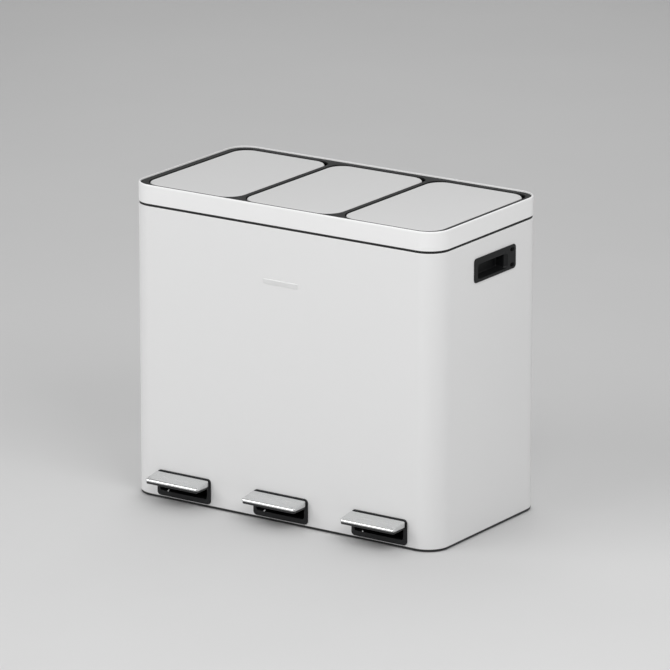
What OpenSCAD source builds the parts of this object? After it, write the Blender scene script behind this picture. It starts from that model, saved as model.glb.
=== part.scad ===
// Three-compartment pedal recycling bin station.
// One steel-skinned body holds three lift-out buckets. Each bucket has its own
// lid, and each lid is raised by its own pedal through a lever and a push rod.
// Axes: +X to the right, +Y to the back, +Z up; the floor is z = 0.

/* [Body] */
// Width of the body skin
body_w = 600; // [480:1:800]
// Depth of the body skin, front to back
body_d = 315; // [270:1:400]
// Height of the steel skin alone
skin_h = 492; // [400:1:640]
// Radius of the four upright corners
body_r = 38; // [20:1:60]
// Thickness of the steel skin
skin_t = 1; // [0.8:0.1:2]

/* [Base] */
// Thickness of the rubber feet
foot_h = 1.5; // [1:0.5:6]
// Diameter of a rubber foot
foot_d = 34; // [20:1:50]
// Thickness of the base tray, which shows as a dark line at the floor
base_t = 2.8; // [2:0.1:6]
// Height of the ring that plugs into the skin
base_plug_h = 8; // [5:0.5:15]
// Wall of the plug ring
base_plug_t = 2.5; // [1.5:0.1:5]

/* [Top rim] */
// Height of the dark seam gasket under the rim
seam_h = 4.2; // [2:0.1:8]
// How far the gasket sits in from the skin
seam_inset = 1.5; // [0.5:0.1:4]
// Height of the painted top rim
rim_h = 31.8; // [20:0.1:50]
// Wall of the top rim
rim_t = 3; // [2:0.1:6]
// Radius of the rim's rounded upper edge
rim_edge_r = 1.2; // [0.4:0.1:1.4]
// Depth of the deck below the top of the rim
deck_drop = 2.6; // [1:0.1:6]
// Thickness of the deck plate
deck_t = 3; // [2:0.1:5]

/* [Lids] */
// Margin from the outside of the body to the lids
lid_margin = 16; // [14:0.5:24]
// Gap between two neighbouring lids
lid_divider = 12.2; // [11:0.1:24]
// Corner radius of a lid
lid_r = 30; // [24:0.5:40]
// Height of the lid skin's edge
lid_h = 11.7; // [10:0.1:20]
// Radius of the lid's rounded upper edge
lid_edge_r = 2.5; // [1:0.1:4]
// Sheet thickness of the lid skin
lid_skin_t = 1; // [0.6:0.1:2]
// Thickness of the plastic plate inside the lid
liner_t = 2.5; // [1.5:0.1:4]
// Gap all round a lid
lid_gap = 2; // [1.5:0.1:4]
// Corner radius of the two rear corners of a lid opening
lid_rear_r = 22; // [16:0.5:28]
// How far a lid opens, in degrees
lid_open = 80; // [60:1:85]

/* [Lid hinge] */
// Distance of the hinge line in front of the lid's rear edge
hinge_in = 16; // [12:0.5:25]
// Depth of the hinge line below the lid's top
hinge_drop = 5.5; // [4:0.1:8]
// Diameter of the hinge pins
hinge_pin_d = 5; // [3:0.1:7]
// Radial clearance of a turning pin in its hole
run_fit = 0.05; // [0.02:0.01:0.09]
// Length of the lid boss that holds a hinge pin
hinge_boss_l = 14; // [8:0.5:20]

/* [Lid crank] */
// Length of the crank, from the hinge line to the crank pin
crank_l = 22; // [18:0.5:26]
// Angle of the crank below the lid, with the lid shut
crank_a = 40; // [35:1:45]
// Diameter of the crank pin
crank_pin_d = 5; // [4:0.1:7]
// Thickness of one crank cheek
cheek_t = 4; // [3:0.5:8]
// Side clearance between flat sliding faces
side_gap = 0.5; // [0.3:0.05:1]

/* [Push rod] */
// Thickness of the push rod across the bin
rod_t = 6; // [4:0.5:10]
// Width of the push rod, front to back
rod_w = 12; // [10:0.5:18]
// Vertical play of the crank pin in the rod's head slot
head_play = 0.7; // [0.6:0.05:1.2]
// End play in the rod's two slots
slot_play = 0.4; // [0.3:0.05:1]
// Wall round a slot
slot_wall = 3.2; // [2.5:0.1:6]
// Clearance of the rod in its guides
guide_gap = 0.3; // [0.3:0.05:0.6]
// Height of a rod guide
guide_h = 12; // [8:1:25]

/* [Pedal lever] */
// Front arm of the lever over its rear arm, which sets the pivot's place
lever_ratio = 0.592; // [0.45:0.001:0.75]
// Height of the lever's pivot above the floor
pivot_z = 32; // [28:0.5:40]
// Diameter of the pivot pin
pivot_d = 8; // [6:0.5:12]
// Diameter of the pivot hub
hub_d = 18; // [14:0.5:24]
// Diameter of the lever's rear pin
rear_pin_d = 6; // [4:0.5:8]
// Width of the lever's rear bar
lever_w = 15; // [12:0.5:24]
// Depth of the lever's rear bar
lever_t = 9; // [7:0.5:14]
// Width of the lever's front blade
blade_w = 40; // [30:1:60]
// Thickness of the lever's front blade
blade_t = 6; // [4:0.5:8]

/* [Pedal] */
// Width of a pedal
pedal_w = 105; // [80:1:130]
// Reach of the pedals in front of the body
pedal_reach = 39; // [30:0.5:60]
// Gap between the body and a pedal's rear edge
pedal_gap = 4.5; // [4.5:0.5:14]
// Height of a pedal's top at its rear edge
pedal_z = 48.5; // [44:0.5:60]
// Fall of a pedal's top from rear to front
pedal_fall = 5.5; // [2:0.5:10]
// Height of the metal cover's lower edge
cover_z = 39; // [36:0.5:45]
// Height of the pedal body's underside
pedal_low_z = 34.5; // [32:0.5:38]
// Sheet thickness of the metal cover
cover_t = 1; // [0.6:0.1:2]
// Radius of the pedal's upright front corners
pedal_r = 4; // [3:0.5:16]
// Radius along the pedal's top front edge
pedal_nose_r = 3; // [1.5:0.1:4]
// Width of the neck behind the pedal
neck_w = 52; // [42:1:70]
// Wall of the neck above and below the blade
neck_wall = 1.7; // [1.2:0.1:3]
// Height of the blade's middle above the cover's lower edge
blade_up = 1; // [0:0.1:2]
// Length of the neck behind the pedal
neck_l = 30; // [20:1:40]

/* [Pedal bezels] */
// Width of a pedal bezel
bezel_w = 107; // [80:1:140]
// Corner radius of a bezel
bezel_r = 6.5; // [3:0.5:12]
// Projection of a bezel from the skin
bezel_out = 3; // [1:0.1:5]
// Width of the sides of the bezel frame
bezel_side = 6.3; // [4:0.1:12]
// Height of the sill below the opening
bezel_sill = 8.9; // [6:0.1:12]
// Height of the frame above the opening
bezel_top = 4; // [3:0.1:8]
// Clearance above the neck with the pedal up
neck_gap = 1.3; // [0.8:0.1:3]
// Clearance below the neck with the pedal down
sill_gap = 2.7; // [1:0.1:5]
// Wall of the collar that passes through the skin
collar_t = 2; // [1.5:0.1:4]
// Depth of the collar behind the skin's face
collar_l = 9; // [5:0.5:20]
// Corner radius of the bezel opening
bezel_in_r = 4; // [2.5:0.5:8]
// Side offset of the small screw on the sill
sill_screw_x = 32; // [29:0.5:40]
// Diameter of the small screw's head
sill_screw_d = 3.6; // [2:0.1:5]
// Height of the small screw's head
sill_screw_h = 1.8; // [1:0.1:2.5]

/* [Side grips] */
// Length of a grip plate, front to back
grip_l = 123; // [90:1:160]
// Height of a grip plate
grip_h = 40.2; // [30:0.1:60]
// Depth of a grip plate's centre below the top
grip_drop = 85.4; // [65:0.1:140]
// Distance of a grip plate's centre behind the body's middle
grip_y = 14; // [-20:0.5:30]
// Corner radius of a grip plate
grip_r = 6; // [3:0.5:12]
// Thickness of a grip plate
grip_t = 2; // [1:0.1:4]
// Length of the finger recess
recess_l = 88; // [60:1:110]
// Height of the finger recess
recess_h = 24.7; // [20:0.1:40]
// Wall in front of the finger recess
recess_front = 9.5; // [6:0.5:20]
// Drop of the recess's centre below the plate's centre
recess_low = 2.7; // [0:0.1:4]
// Radius of the recess's corners
recess_r = 5; // [3:0.5:10]
// Depth of the finger recess
recess_deep = 18; // [12:0.5:18]
// Wall of the recess cup
cup_t = 2; // [1.5:0.1:3]
// Distance of the two grip screws from the rear end
grip_screw_in = 12; // [9:0.5:18]
// Half the spacing of the two grip screws
grip_screw_dz = 12.7; // [8:0.1:18]
// Diameter of a grip screw's head
grip_screw_d = 6; // [4:0.1:8]

/* [Buckets] */
// Wall of a bucket
bucket_t = 2; // [1.5:0.1:4]
// Thickness of a bucket's floor
bucket_floor = 2.5; // [2:0.1:5]
// Corner radius of a bucket
bucket_r = 28; // [15:0.5:40]
// Width of the lip round a bucket's mouth
bucket_lip = 2; // [1:0.1:2]
// Height of the lip
bucket_lip_h = 4; // [2:0.5:10]
// Width of the ledge inside each lid opening
ledge_w = 5; // [4:0.1:7]
// Thickness of the ledge
ledge_t = 3; // [2:0.1:5]
// Depth of the ledge's top below the lid's lower edge
ledge_drop = 4; // [3:0.1:8]
// Depth of a bucket's mouth below the ledge's top
lip_gap = 3; // [2:0.1:8]
// Clearance of a bucket's lip in the ledge, at each side
lip_side = 1.1; // [0.6:0.1:3]
// Clearance of a bucket's lip at the front and the rear
lip_end = 1.5; // [0.8:0.1:4]
// Width of the bail's legs
bail_w = 3; // [2:0.1:6]
// Thickness of the bail
bail_t = 4; // [3:0.1:4.4]
// Diameter of the bail's pins
bail_pin_d = 4; // [3:0.1:5]

/* [Inside frame] */
// Thickness of the platform under the buckets
platform_t = 2; // [1.5:0.1:4]
// Clearance of the levers under the platform
platform_gap = 2.9; // [1.5:0.1:8]
// Clearance of the push rods behind the panel
duct_gap = 1.8; // [1:0.1:6]
// Thickness of the panel in front of the duct
panel_t = 1.2; // [0.8:0.1:3]
// Thickness of a pivot bracket's ears
ear_t = 3; // [2:0.5:6]

/* [Damper] */
// Side offset of a damper from its push rod
damper_x = 24; // [20:0.5:40]
// Outside diameter of a damper's cylinder
damper_d = 14; // [12:0.5:20]
// Diameter of the damper's rod
damper_rod_d = 5; // [4:0.5:8]
// Length of a damper's cylinder
damper_l = 130; // [90:1:180]
// Height of a damper's lower end above the platform
damper_up = 95; // [60:1:120]
// Height of the rod's arm above a damper's cylinder
damper_arm = 36; // [32:1:60]

/* [Nameplate] */
// Length of the blank plate on the front
plate_l = 67; // [30:1:100]
// Height of the blank plate
plate_h = 8; // [4:0.5:20]
// Thickness of the blank plate
plate_t = 0.8; // [0.4:0.1:2]
// Depth of the plate's centre below the top
plate_drop = 126.8; // [60:0.5:200]

/* [Hidden] */
$fn = 64;
over = 1;
front = -(body_d + pedal_reach) / 2 + pedal_reach;
back = front + body_d;
mid_y = (front + back) / 2;
base_z = foot_h;
skin_z = base_z + base_t;
seam_z = skin_z + skin_h;
rim_z = seam_z + seam_h;
top_z = rim_z + rim_h;
deck_z = top_z - deck_drop;
lid_low_z = deck_z - lid_h;
ledge_z = lid_low_z - ledge_drop;
rim_ring_w = 14;
lid_w = (body_w - 2 * lid_margin - 2 * lid_divider) / 3;
lid_d = body_d - 2 * lid_margin;
pitch = lid_w + lid_divider;
columns = [-pitch, 0, pitch];
grip_z = top_z - grip_drop;
plate_z = top_z - plate_drop;
hinge_y = mid_y + lid_d / 2 - hinge_in;
hinge_z = deck_z - hinge_drop;
hinge_r = hinge_pin_d / 2;
open_w = lid_w + 2 * lid_gap;
open_d = lid_d + 2 * lid_gap;
open_r = lid_r + lid_gap;
// Half width of a lid on the hinge line.
rear_dy = lid_r - hinge_in;
lid_half = lid_w / 2 - lid_r + sqrt(lid_r * lid_r - rear_dy * rear_dy);
pin_out = pitch / 2 - 1.1;
// Crank, push rod and lever share one stroke.
crank_y = hinge_y - crank_l * cos(crank_a);
crank_z = hinge_z - crank_l * sin(crank_a);
stroke = 2 * crank_l * sin(crank_a);
head_y = (crank_y + hinge_y - crank_l) / 2;
lever_l = (head_y - front) / (1 + lever_ratio);
pivot_in = head_y - front - lever_l;
pivot_y = front + pivot_in;
half_swing = asin(stroke / (2 * lever_l));
rear_y = pivot_y + lever_l * cos(half_swing);
rear_y_max = pivot_y + lever_l;
rear_z = pivot_z - lever_l * sin(half_swing);
foot_slot_y = (rear_y + rear_y_max) / 2;
foot_slot_l = rear_pin_d + (rear_y_max - rear_y) + 2 * slot_play;
head_slot_l = crank_pin_d + (crank_l - crank_l * cos(crank_a)) + 2 * slot_play;
head_slot_h = crank_pin_d + 2 * head_play;
window_w = head_slot_l + 2 * slot_wall + crank_y - head_y + 2 * side_gap;
fork_gap = rod_t / 2 + side_gap;
blade_z = cover_z + blade_up;
neck_top = blade_z + blade_t / 2 + neck_wall;
neck_low = blade_z - blade_t / 2 - neck_wall;
pedal_front = front - pedal_reach;
neck_drop = (pivot_in + bezel_out) * sin(2 * half_swing);
bezel_open_low = neck_low - neck_drop - sill_gap;
bezel_open_top = neck_top + neck_gap;
bezel_z = bezel_open_low - bezel_sill;
bezel_h = bezel_open_top + bezel_top - bezel_z;
rear_boss_r = rear_pin_d / 2 + 3;
platform_z = pivot_z + stroke / 2 + rear_boss_r + platform_gap;
pedal_back = front - pedal_gap;
duct_y = head_y - head_slot_l / 2 - slot_wall - duct_gap;
bucket_top = ledge_z - lip_gap;
bucket_z = platform_z + platform_t;
ledge_y0 = mid_y - open_d / 2 + ledge_w;
bucket_w = open_w - 2 * (ledge_w + bucket_lip + lip_side);
bucket_y0 = ledge_y0 + bucket_lip + lip_end;
bucket_y1 = duct_y - panel_t - bucket_lip - lip_end - 1;
bucket_d = bucket_y1 - bucket_y0;
bucket_cy = (bucket_y0 + bucket_y1) / 2;
shelf_z = rim_z;
shelf_t = 2.5;
bail_pivot_z = bucket_top - 5;
bail_back_y = bucket_y1;
bail_back_z = bucket_top + bail_t / 2 + 1.3;
damper_y = back - skin_t - 22;
damper_z = platform_z + damper_up;
arm_z = damper_z + damper_l + damper_arm;

// Rounded rectangle, centred, made of squares and circles.
module rounded(w, d, r) {
    square([w - 2 * r, d], center = true);
    square([w, d - 2 * r], center = true);
    for (sx = [-1, 1], sy = [-1, 1])
        translate([sx * (w / 2 - r), sy * (d / 2 - r)])
            circle(r);
}

// Outline of the body, moved in by a set amount.
module outline(inset) {
    rounded(body_w - 2 * inset, body_d - 2 * inset, body_r - inset);
}

// Upright ring between two insets of the body's outline.
module body_ring(z, h, outer, inner) {
    translate([0, mid_y, z])
        linear_extrude(h)
            difference() {
                outline(outer);
                outline(inner);
            }
}

// A wall section carried round a rounded rectangle. The section is drawn with
// its outer face on x = 0 and its body at x < 0.
module wall_round(w, d, r) {
    for (k = [0, 1]) rotate([0, 0, 180 * k]) {
        translate([w / 2, d / 2 - r, 0])
            rotate([90, 0, 0])
                linear_extrude(d - 2 * r)
                    children();
        translate([-(w / 2 - r), d / 2, 0])
            rotate([0, 0, 90])
                rotate([90, 0, 0])
                    linear_extrude(w - 2 * r)
                        children();
        for (sy = [-1, 1])
            translate([w / 2 - r, sy * (d / 2 - r), 0])
                rotate([0, 0, sy > 0 ? 0 : -90])
                    rotate_extrude(angle = 90)
                        translate([r, 0])
                            children();
    }
}

// Section of a wall whose outer top edge is rounded.
module edge_section(t, h, r) {
    translate([-t, 0])
        square([t, h - r]);
    translate([-t, 0])
        square([t - r, h]);
    translate([-r, h - r])
        intersection() {
            circle(r);
            square(r);
        }
}

// A solid bar with its length along X.
module bar_x(l, w, h) {
    translate([-l / 2, -w / 2, -h / 2])
        cube([l, w, h]);
}

// A round bar along X, centred.
module rod_x(l, r) {
    rotate([0, 90, 0])
        cylinder(h = l, r = r, center = true);
}

// Outline of one lid opening: the rear corners are tighter than the front ones.
module opening_outline() {
    rounded(open_w, open_d, open_r);
    translate([0, open_d / 4])
        rounded(open_w, open_d / 2, lid_rear_r);
}

module base_tray() {
    color("#1d1e20") {
        translate([0, mid_y, base_z])
            linear_extrude(base_t)
                outline(0);
        // The plug ring is notched where a bezel's collar comes down to it.
        difference() {
            body_ring(skin_z, base_plug_h, skin_t, skin_t + base_plug_t);
            for (x = columns)
                bezel_hole(x, front - over, front + collar_l + over, collar_t + side_gap);
        }
    }
}

module feet() {
    color("#141414")
        for (sx = [-1, 0, 1], sy = [-1, 1])
            translate([sx * (body_w / 2 - body_r - foot_d / 2), mid_y + sy * (body_d / 2 - body_r), 0])
                cylinder(h = foot_h, d = foot_d);
}

// Rounded block along Y, used for the pedal bezels and their holes.
module bezel_block(x, y0, y1, w, z0, z1, r) {
    translate([x, y1, (z0 + z1) / 2])
        rotate([90, 0, 0])
            linear_extrude(y1 - y0)
                rounded(w, z1 - z0, r);
}

module bezel_hole(x, y0, y1, grow) {
    bezel_block(x, y0, y1, bezel_w - 2 * bezel_side + 2 * grow, bezel_open_low - grow,
        bezel_open_top + grow, bezel_in_r + grow);
}

// Rounded block along X, used for the side grips and their holes.
module grip_block(x0, x1, y, z, l, h, r) {
    translate([x0, y, z])
        rotate([90, 0, 90])
            linear_extrude(x1 - x0)
                rounded(l, h, r);
}

module body_shell() {
    color("#e4e5e6")
        difference() {
            union() {
                body_ring(skin_z, skin_h, 0, skin_t);
                body_ring(seam_z - skin_t, skin_t, 0, rim_ring_w + 1);
            }
            for (x = columns)
                bezel_hole(x, front - over, front + skin_t + over, collar_t);
            for (s = [0, 1])
                mirror([s, 0, 0])
                    grip_block(body_w / 2 - skin_t - over, body_w / 2 + over, recess_cy(), recess_cz(),
                        recess_l + 2 * cup_t, recess_h + 2 * cup_t, recess_r + cup_t);
        }
}

module seam_gasket() {
    color("#17181a")
        body_ring(seam_z, seam_h, seam_inset, rim_ring_w);
}

module top_rim() {
    color("#e9eaea")
        translate([0, mid_y, rim_z])
            wall_round(body_w, body_d, body_r)
                edge_section(rim_t, rim_h, rim_edge_r);
}

module lid_openings(z0, z1, inset) {
    for (x = columns)
        translate([x, mid_y, z0])
            linear_extrude(z1 - z0)
                opening_outline();
}

module inner_frame() {
    color("#2b2c2e")
        difference() {
            union() {
                translate([0, mid_y, deck_z - deck_t])
                    linear_extrude(deck_t)
                        outline(rim_t);
                body_ring(rim_z, rim_h - deck_drop, rim_t, rim_t + 2.5);
                for (x = columns) {
                    // Skirt round the opening.
                    translate([x, mid_y, rim_z])
                        linear_extrude(rim_h - deck_drop)
                            rounded(open_w + 5, open_d + 5, open_r + 2.5);
                    // Hinge blocks at both ends of the hinge line.
                    for (s = [-1, 1])
                        translate([x + s * pitch / 2, hinge_y, (hinge_z - 9 + deck_z) / 2])
                            bar_x(8, 16, deck_z - hinge_z + 9);
                }
            }
            for (x = columns) {
                difference() {
                    translate([x, mid_y, rim_z - over])
                        linear_extrude(rim_h + 2 * over)
                            opening_outline();
                    // Ledge round the bucket's mouth.
                    translate([x, mid_y, ledge_z - ledge_t])
                        linear_extrude(ledge_t)
                            difference() {
                                rounded(open_w + 1, open_d + 1, open_r + 0.5);
                                rounded(open_w - 2 * ledge_w, open_d - 2 * ledge_w, open_r - ledge_w);
                                translate([-open_w, duct_y - mid_y - 1])
                                    square([2 * open_w, open_d]);
                            }
                    // Shelf over the linkage.
                    translate([x - open_w / 2 - 1, duct_y - panel_t, shelf_z])
                        cube([open_w + 2, back - duct_y, shelf_t]);
                }
                // Slot for the push rod, and a window round its head and the crank.
                translate([x, foot_slot_y, shelf_z])
                    bar_x(rod_t + 2 * side_gap, rod_w + 2 * side_gap, 4 * shelf_t);
                translate([x, (crank_y + head_y) / 2, shelf_z])
                    bar_x(rod_t + 4 * side_gap + 2 * cheek_t, window_w, 4 * shelf_t);
                // Bores for the hinge pins.
                translate([x, hinge_y, hinge_z])
                    rod_x(2 * pin_out + 0.4, hinge_r + run_fit);
            }
        }
}

module bucket_platform() {
    color("#c9ccce") {
        translate([0, 0, platform_z])
            linear_extrude(platform_t)
                intersection() {
                    translate([0, mid_y])
                        outline(skin_t);
                    translate([-body_w, front])
                        square([2 * body_w, duct_y - front]);
                }
        for (x = [-body_w / 2 + lid_margin, -pitch / 2, pitch / 2, body_w / 2 - lid_margin])
            translate([x, (front + duct_y) / 2, (skin_z + platform_z) / 2])
                bar_x(platform_t, duct_y - front - 2 * body_r, platform_z - skin_z);
    }
}

module service_panel() {
    color("#c9ccce") {
        translate([-(body_w / 2 - skin_t), duct_y - panel_t, bucket_z])
            cube([body_w - 2 * skin_t, panel_t, seam_z - skin_t - bucket_z]);
        translate([-(body_w / 2 - rim_ring_w - 2), duct_y - panel_t, bucket_z])
            cube([body_w - 2 * rim_ring_w - 4, panel_t, rim_z - bucket_z]);
    }
}

module pivot_brackets() {
    color("#b9bcbf")
        for (x = columns)
            translate([x, pivot_y, skin_z])
                difference() {
                    union() {
                        translate([0, 0, ear_t / 2])
                            bar_x(56, 30, ear_t);
                        for (s = [-1, 1])
                            translate([s * (12 + side_gap + ear_t / 2), 0, (pivot_z - skin_z) / 2 + 4])
                                bar_x(ear_t, 20, pivot_z - skin_z + 8);
                    }
                    translate([0, 0, pivot_z - skin_z])
                        rod_x(80, pivot_d / 2);
                }
}

module pivot_pins() {
    color("#a9acb0")
        for (x = columns)
            translate([x, pivot_y, pivot_z]) {
                rod_x(2 * (12 + side_gap + ear_t) + 4, pivot_d / 2);
                for (s = [-1, 1])
                    translate([s * (12 + side_gap + ear_t + 1), 0, 0])
                        rod_x(2, pivot_d / 2 + 2);
            }
}

module rod_guides() {
    color("#232426")
        for (x = columns, z = [platform_z + 50, seam_z - 60])
            translate([x, 0, z])
                difference() {
                    translate([-11, duct_y, 0])
                        cube([22, foot_slot_y + rod_w / 2 + 4 - duct_y, guide_h]);
                    translate([0, foot_slot_y, guide_h / 2])
                        bar_x(rod_t + 2 * guide_gap, rod_w + 2 * guide_gap, guide_h + 2 * over);
                }
}

module pedal_bezels() {
    color("#202123")
        for (x = columns)
            difference() {
                union() {
                    bezel_block(x, front - bezel_out, front, bezel_w, bezel_z, bezel_z + bezel_h, bezel_r);
                    bezel_hole(x, front, front + collar_l, collar_t);
                }
                bezel_hole(x, front - bezel_out - over, front + collar_l + over, 0);
            }
}

module sill_screws() {
    color("#c8cacc")
        for (x = columns)
            translate([x - sill_screw_x, front - bezel_out + sill_screw_d / 2 + 0.6, bezel_z + bezel_sill])
                cylinder(h = sill_screw_h, d = sill_screw_d);
}

function recess_cy() = mid_y + grip_y - grip_l / 2 + recess_front + recess_l / 2;

function recess_cz() = grip_z - recess_low;

module side_grip() {
    color("#1b1c1e")
        difference() {
            union() {
                grip_block(body_w / 2, body_w / 2 + grip_t, mid_y + grip_y, grip_z, grip_l, grip_h, grip_r);
                grip_block(body_w / 2 - recess_deep - cup_t, body_w / 2 + grip_t / 2, recess_cy(), recess_cz(),
                    recess_l + 2 * cup_t, recess_h + 2 * cup_t, recess_r + cup_t);
            }
            grip_block(body_w / 2 - recess_deep, body_w / 2 + grip_t + over, recess_cy(), recess_cz(),
                recess_l, recess_h, recess_r);
            for (s = [-1, 1])
                translate([body_w / 2 + grip_t - 1, mid_y + grip_y + grip_l / 2 - grip_screw_in,
                    grip_z + s * grip_screw_dz])
                    rotate([0, 90, 0])
                        cylinder(h = 2, d = grip_screw_d + 1);
        }
}

module grip_left() {
    mirror([1, 0, 0])
        side_grip();
}

module grip_right() {
    side_grip();
}

module grip_screws() {
    color("#9a9da0")
        for (m = [0, 1], s = [-1, 1])
            mirror([m, 0, 0])
                translate([body_w / 2 + grip_t - 1, mid_y + grip_y + grip_l / 2 - grip_screw_in,
                    grip_z + s * grip_screw_dz])
                    rotate([0, 90, 0])
                        difference() {
                            cylinder(h = 0.9, d = grip_screw_d);
                            translate([0, 0, 0.5])
                                for (a = [0, 90])
                                    rotate([0, 0, a])
                                        bar_x(grip_screw_d * 0.6, 0.9, 1);
                        }
}

module nameplate() {
    color("#d6d8da")
        translate([0, front, plate_z])
            rotate([90, 0, 0])
                linear_extrude(plate_t)
                    rounded(plate_l, plate_h, 1);
}

module bucket(x) {
    color("#4a4d50")
        translate([x, bucket_cy, 0])
            difference() {
                union() {
                    translate([0, 0, bucket_z])
                        linear_extrude(bucket_top - bucket_z)
                            rounded(bucket_w, bucket_d, bucket_r);
                    translate([0, 0, bucket_top - bucket_lip_h])
                        linear_extrude(bucket_lip_h)
                            rounded(bucket_w + 2 * bucket_lip, bucket_d + 2 * bucket_lip, bucket_r + bucket_lip);
                }
                translate([0, 0, bucket_z + bucket_floor])
                    linear_extrude(bucket_top)
                        rounded(bucket_w - 2 * bucket_t, bucket_d - 2 * bucket_t, bucket_r - bucket_t);
                // Holes for the ends of the bail.
                translate([0, 0, bail_pivot_z])
                    rod_x(bucket_w + 2, bail_pin_d / 2);
            }
}

module bucket_left() {
    bucket(columns[0]);
}

module bucket_middle() {
    bucket(columns[1]);
}

module bucket_right() {
    bucket(columns[2]);
}

// Plastic bail, folded back so that its cross bar lies over the bucket's lip.
module bail(x) {
    half = bucket_w / 2 - bucket_t - 1 - bail_w / 2;
    run = bail_back_y - bucket_cy;
    rise = bail_back_z - bail_pivot_z;
    leg = sqrt(run * run + rise * rise);
    color("#2c2e30")
        translate([x, bucket_cy, bail_pivot_z])
            for (s = [-1, 1]) {
                translate([s * half, 0, 0]) {
                    rod_x(bail_w, bail_t / 2 + 1);
                    rotate([atan2(rise, run), 0, 0])
                        translate([-bail_w / 2, 0, -bail_t / 2])
                            cube([bail_w, leg, bail_t]);
                }
                translate([s * (half + bucket_w / 2) / 2, 0, 0])
                    rod_x(bucket_w / 2 - half, bail_pin_d / 2);
                translate([0, run, rise])
                    bar_x(2 * half + bail_w, bail_t + 2, bail_t);
            }
}

module bail_left() {
    bail(columns[0]);
}

module bail_middle() {
    bail(columns[1]);
}

module bail_right() {
    bail(columns[2]);
}

module lid_bumpers() {
    color("#101112")
        for (x = columns, s = [-1, 1])
            translate([x + s * (lid_w / 2 - lid_r - 10), mid_y - open_d / 2 + ledge_w / 2, ledge_z])
                cylinder(h = ledge_drop - 0.3, d = ledge_w - 1);
}

module damper_cylinders() {
    color("#3a3c3f")
        for (x = columns)
            translate([x + damper_x, damper_y, damper_z])
                difference() {
                    cylinder(h = damper_l, d = damper_d);
                    translate([0, 0, 6])
                        cylinder(h = damper_l, d = damper_rod_d + 2 * run_fit);
                }
}

module damper_clamps() {
    color("#c9ccce")
        for (x = columns, z = [damper_z + 12, damper_z + damper_l - 24])
            translate([x + damper_x, 0, z])
                difference() {
                    translate([-damper_d / 2 - 3, damper_y - 4, 0])
                        cube([damper_d + 6, back - skin_t - damper_y + 4, 10]);
                    translate([0, damper_y, -over])
                        cylinder(h = 12, d = damper_d);
                }
}

// Side view of a pedal, grown inward by a set amount.
module pedal_side(t) {
    len = pedal_reach - pedal_gap;
    slope = atan2(pedal_fall, len);
    r = pedal_nose_r - t;
    // Centre of the nose: tangent to the sloping top and to the front face.
    cy = pedal_front + pedal_nose_r;
    cz = pedal_z - pedal_fall + pedal_nose_r * tan(slope) - pedal_nose_r / cos(slope);
    steps = 10;
    nose = [for (i = [0 : steps])
        let (a = 90 + slope + (90 - slope) * i / steps)
        [cy + r * cos(a), cz + r * sin(a)]];
    polygon(concat(
        [[pedal_front + t, cover_z], [pedal_back - t, cover_z],
            [pedal_back - t, pedal_z - t / cos(slope) - t * tan(slope)]],
        nose
    ));
}

// Pedal shape above the cover's lower edge, moved in by a set amount.
module pedal_form(t) {
    intersection() {
        translate([-pedal_w, 0, 0])
            rotate([90, 0, 90])
                linear_extrude(2 * pedal_w)
                    pedal_side(t);
        translate([0, 0, cover_z - over])
            linear_extrude(pedal_z)
                pedal_corners(t, over);
    }
}

// Plan outline with the front corners rounded.
module pedal_corners(t, longer) {
    half = pedal_w / 2 - t;
    r = pedal_r - t;
    y0 = pedal_front + t;
    translate([-half, y0 + r])
        square([2 * half, pedal_back + longer - t - y0 - r]);
    translate([-half + r, y0])
        square([2 * half - 2 * r, r + over]);
    for (s = [-1, 1])
        translate([s * (half - r), y0 + r])
            circle(r);
}

module pedal_cover(x) {
    color("#d4d6d8")
        translate([x, 0, 0])
            difference() {
                pedal_form(0);
                pedal_form(cover_t);
                translate([-neck_w / 2 - 0.2, pedal_back - 3, cover_z - over])
                    cube([neck_w + 0.4, 10, neck_top - cover_z + over + 0.2]);
            }
}

module pedal_body(x) {
    color("#1f2022")
        translate([x, 0, 0])
            difference() {
                union() {
                    pedal_form(cover_t);
                    translate([0, 0, pedal_low_z])
                        linear_extrude(cover_z - pedal_low_z)
                            pedal_corners(cover_t, 0);
                    translate([-neck_w / 2, pedal_back - 8, neck_low])
                        cube([neck_w, neck_l + 8, neck_top - neck_low]);
                }
                translate([-blade_w / 2, pedal_front + 12, blade_z - blade_t / 2])
                    cube([blade_w, 200, blade_t]);
            }
}

module pedal_lever(x) {
    color("#8d9195")
        translate([x, 0, 0])
            difference() {
                union() {
                    translate([-blade_w / 2, pedal_front + 12, blade_z - blade_t / 2])
                        cube([blade_w, front + pivot_in - 12 - pedal_front - 12, blade_t]);
                    translate([0, pivot_y - 7, (blade_z + blade_t / 2 + pivot_z - 6) / 2])
                        bar_x(lever_w, 14, blade_z + blade_t / 2 - pivot_z + 6);
                    translate([0, pivot_y, pivot_z])
                        rod_x(24, hub_d / 2);
                    translate([0, pivot_y, pivot_z])
                        rotate([-half_swing, 0, 0])
                            translate([-lever_w / 2, 0, -lever_t / 2])
                                cube([lever_w, lever_l - rear_pin_d / 2 - 0.6, lever_t]);
                    translate([0, rear_y, rear_z])
                        rod_x(lever_w, rear_boss_r);
                }
                translate([0, pivot_y, pivot_z])
                    rod_x(60, pivot_d / 2 + run_fit);
                translate([0, rear_y, rear_z])
                    rod_x(60, rear_pin_d / 2);
                // Fork round the push rod's foot.
                translate([-fork_gap, rear_y - 22, rear_z - 20])
                    cube([2 * fork_gap, 60, 50]);
            }
}

module lever_pin(x) {
    color("#b9bcbf")
        translate([x, rear_y, rear_z]) {
            rod_x(lever_w + 2, rear_pin_d / 2);
            for (s = [-1, 1])
                translate([s * (lever_w / 2 + 0.75), 0, 0])
                    rod_x(1.5, rear_pin_d / 2 + 1.5);
        }
}

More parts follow.
